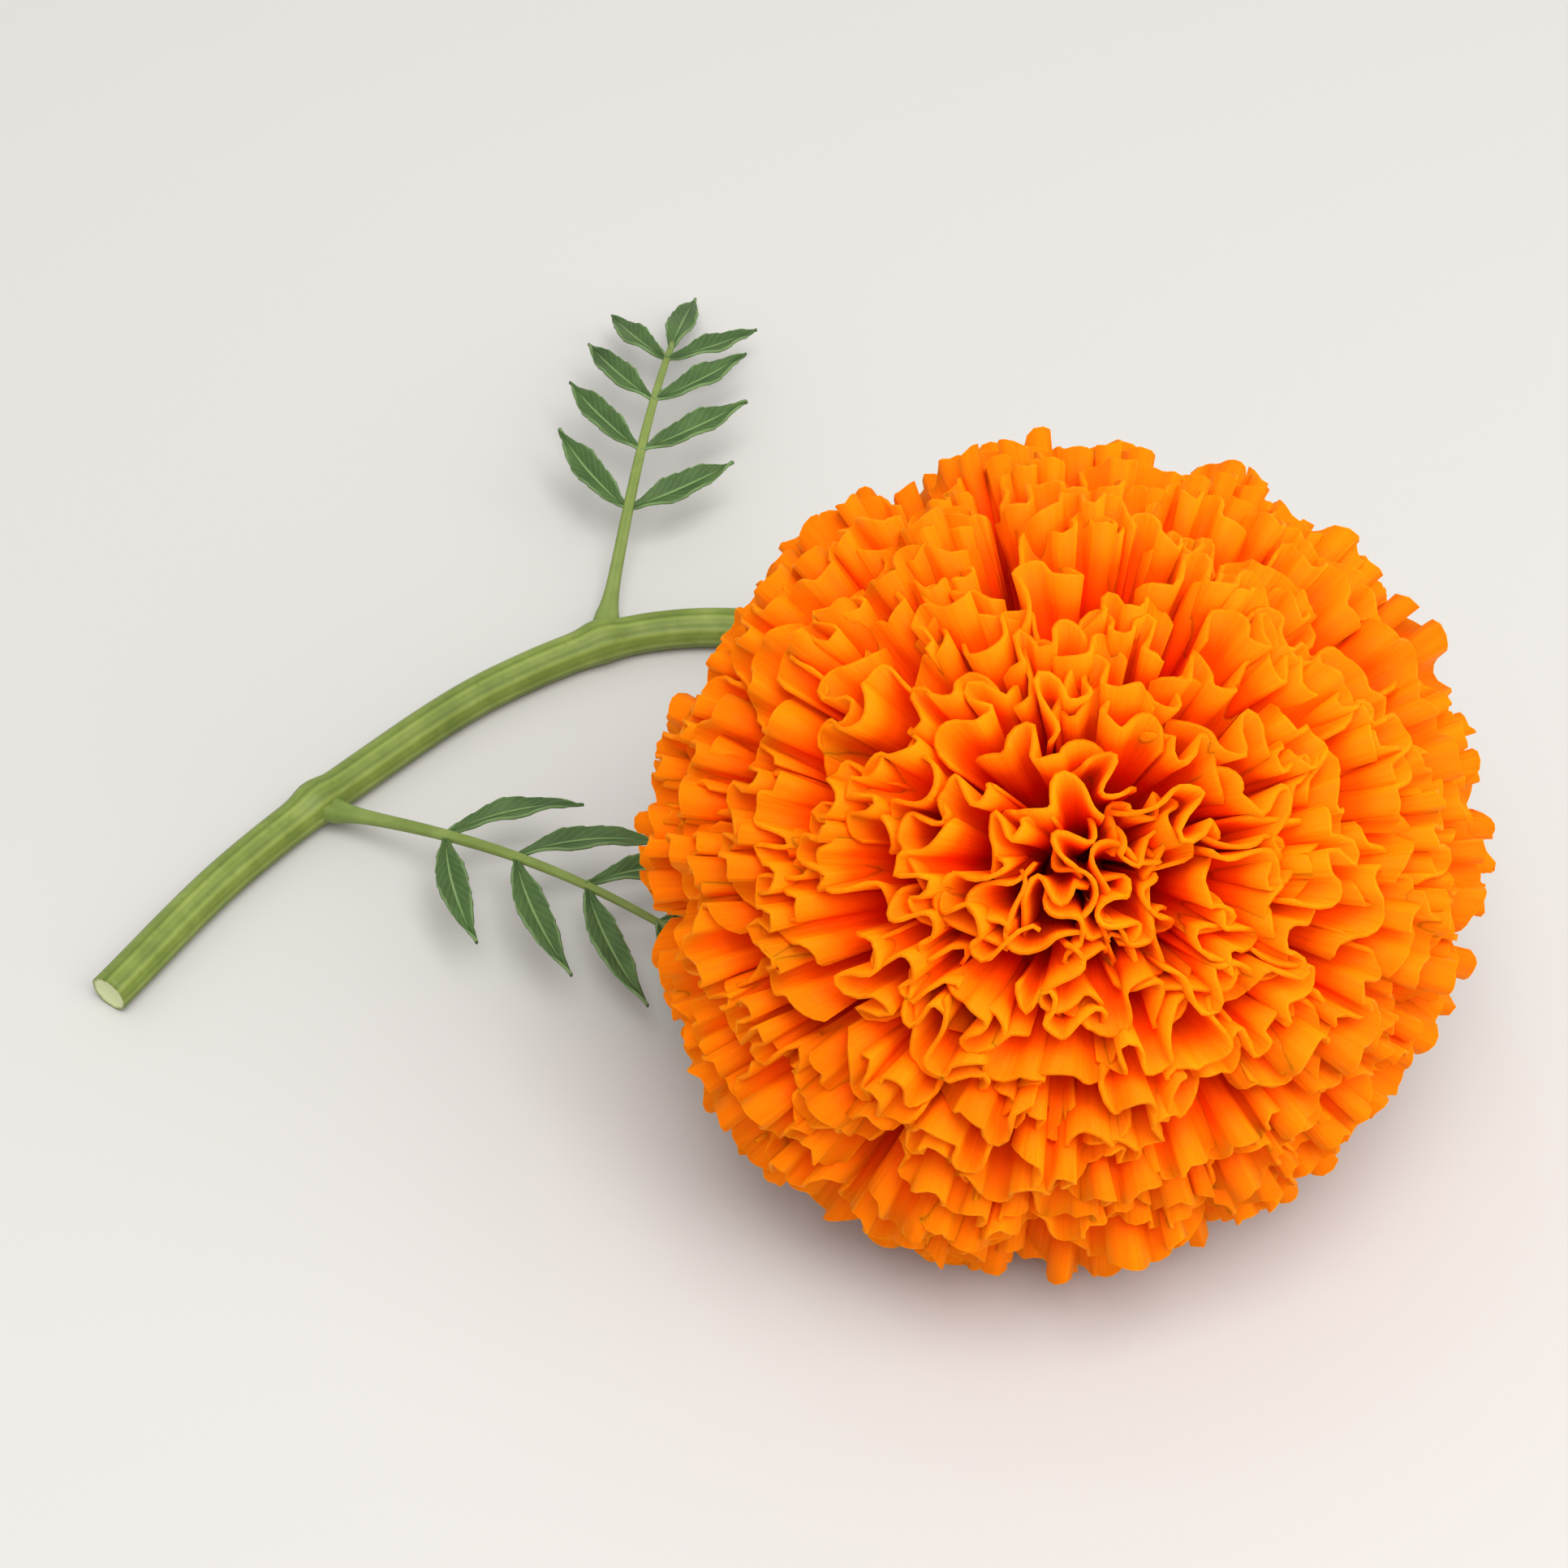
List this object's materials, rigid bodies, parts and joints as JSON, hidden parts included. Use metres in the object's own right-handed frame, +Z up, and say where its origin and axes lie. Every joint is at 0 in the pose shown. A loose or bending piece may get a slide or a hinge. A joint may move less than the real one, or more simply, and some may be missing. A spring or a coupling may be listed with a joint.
{
  "type": "marigold flower",
  "caption": "Cut marigold flower lying down: ruffled orange pompon bloom, ribbed green calyx, curved stem and pinnate leaves.",
  "frame": {"origin": "on the surface that the flower lies on, under the middle of the whole flower", "axes": "+Z up from the surface; +X from the cut end of the stem towards the bloom; the bloom faces -Y and up at 45 degrees"},
  "size_m": [0.1468, 0.1552, 0.0727],
  "materials": {
    "petals": "soft matte petals, orange with lighter rims",
    "calyx": "smooth waxy yellow-green with darker ribs",
    "stem": "finely ribbed satin green",
    "leaf": "satin dark green with paler veins"
  },
  "bodies": {
    "root": {"bloom": "petals", "calyx": "calyx", "stem": "stem", "upper_leaf": "leaf", "lower_leaf": "leaf"}
  },
  "joints": []
}
